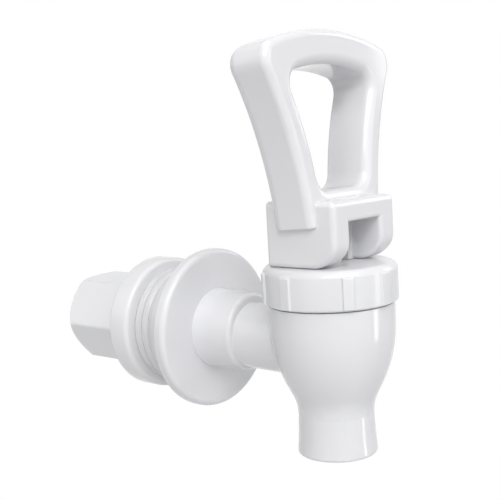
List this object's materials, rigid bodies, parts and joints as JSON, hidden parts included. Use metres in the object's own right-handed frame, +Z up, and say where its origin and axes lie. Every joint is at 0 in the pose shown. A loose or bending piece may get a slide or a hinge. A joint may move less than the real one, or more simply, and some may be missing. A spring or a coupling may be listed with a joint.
{
  "type": "water purifier tap",
  "caption": "White plastic self-closing tap with a finger-loop lever over a bell-shaped body and spout, on a flanged hollow shank with gaskets and a long hexagon lock nut.",
  "frame": {"origin": "centre of the disc flange's back face, on the shank's axis", "axes": "+Y along the shank into the tank, -Y towards the user and the spout, +Z up the stem and the lever, +X to the right of a user who faces the tap"},
  "size_m": [0.0488, 0.1038, 0.1013],
  "materials": {
    "body_plastic": "gloss white moulding",
    "cap_plastic": "gloss white moulding",
    "seat_silicone": "milky soft silicone",
    "stem_plastic": "satin acetal",
    "spring_steel": "drawn stainless wire",
    "lever_plastic": "gloss white moulding",
    "pin_steel": "turned stainless rod",
    "gasket_silicone": "soft white silicone",
    "ribbed_silicone": "soft white silicone",
    "nut_plastic": "gloss white moulding"
  },
  "bodies": {
    "tap_body": {"valve_body": "body_plastic", "bonnet_cap": "cap_plastic", "seat_cup": "seat_silicone", "return_spring": "spring_steel", "front_gasket": "gasket_silicone", "ribbed_gasket": "ribbed_silicone", "lock_nut": "nut_plastic"},
    "stem": {"valve_stem": "stem_plastic"},
    "lever": {"lever_handle": "lever_plastic", "lever_pin": "pin_steel"}
  },
  "joints": [
    {"name": "stem_lift", "type": "slide", "parent": "tap_body", "child": "stem", "axis": [0, 0, 1], "range_m": [0, 0.00298], "stiffness_N_per_m": 960, "springref_m": -0.0089, "deforming": ["return_spring", "seat_cup"]},
    {"name": "lever_tilt", "type": "hinge", "parent": "stem", "child": "lever", "pos_m": [0, -0.0414, 0.026], "axis": [1, 0, 0], "range_deg": [0, 45]}
  ],
  "couplings": [
    {"joint": "lever_tilt", "follows": "stem_lift", "rad_per_m": 263.16}
  ]
}
